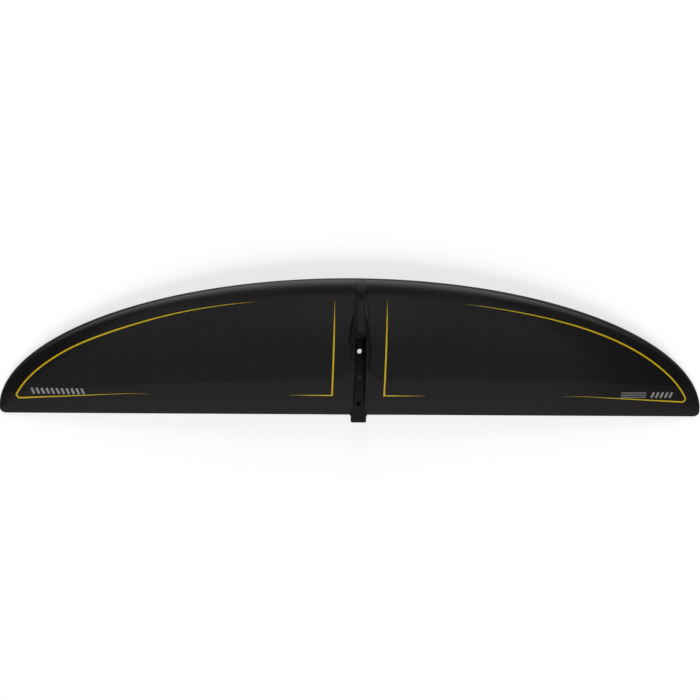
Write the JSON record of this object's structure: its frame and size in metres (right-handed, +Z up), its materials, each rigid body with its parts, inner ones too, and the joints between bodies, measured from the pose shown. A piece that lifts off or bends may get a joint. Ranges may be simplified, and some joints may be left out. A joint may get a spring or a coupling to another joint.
{
  "type": "hydrofoil front wing",
  "caption": "Carbon front wing of a hydrofoil with a central fuselage pocket, screw holes and a tail lug, built as skins over foam cores and spars.",
  "frame": {"origin": "axis of the middle screw hole at the floor of the fuselage pocket", "axes": "+X along the span towards the left tip as a rider facing forward sees it, +Y aft, +Z up out of the pocket"},
  "size_m": [0.9578, 0.1944, 0.0447],
  "materials": {
    "clear_carbon": "clear-coated twill carbon, glossy",
    "solid_laminate": "moulded solid carbon laminate, satin",
    "foam": "closed-cell structural foam",
    "straight_carbon": "straight-fibre carbon strip",
    "filled_resin": "fibre-filled resin",
    "yellow_line": "yellow line paint, glossy",
    "grey_mark": "light grey mark paint"
  },
  "bodies": {
    "root": {"upper_skin": "clear_carbon", "lower_skin": "clear_carbon", "mount_block": "solid_laminate", "nose_strip_left": "straight_carbon", "front_core_left": "foam", "upper_cap_left": "straight_carbon", "lower_cap_left": "straight_carbon", "shear_web_left": "solid_laminate", "rear_core_left": "foam", "tail_strip_left": "filled_resin", "tip_filler_left": "filled_resin", "outline_stripe_left": "yellow_line", "corner_stripe_left": "yellow_line", "tip_mark_left": "grey_mark", "nose_strip_right": "straight_carbon", "front_core_right": "foam", "upper_cap_right": "straight_carbon", "lower_cap_right": "straight_carbon", "shear_web_right": "solid_laminate", "rear_core_right": "foam", "tail_strip_right": "filled_resin", "tip_filler_right": "filled_resin", "outline_stripe_right": "yellow_line", "corner_stripe_right": "yellow_line", "tip_mark_right": "grey_mark"}
  },
  "joints": []
}
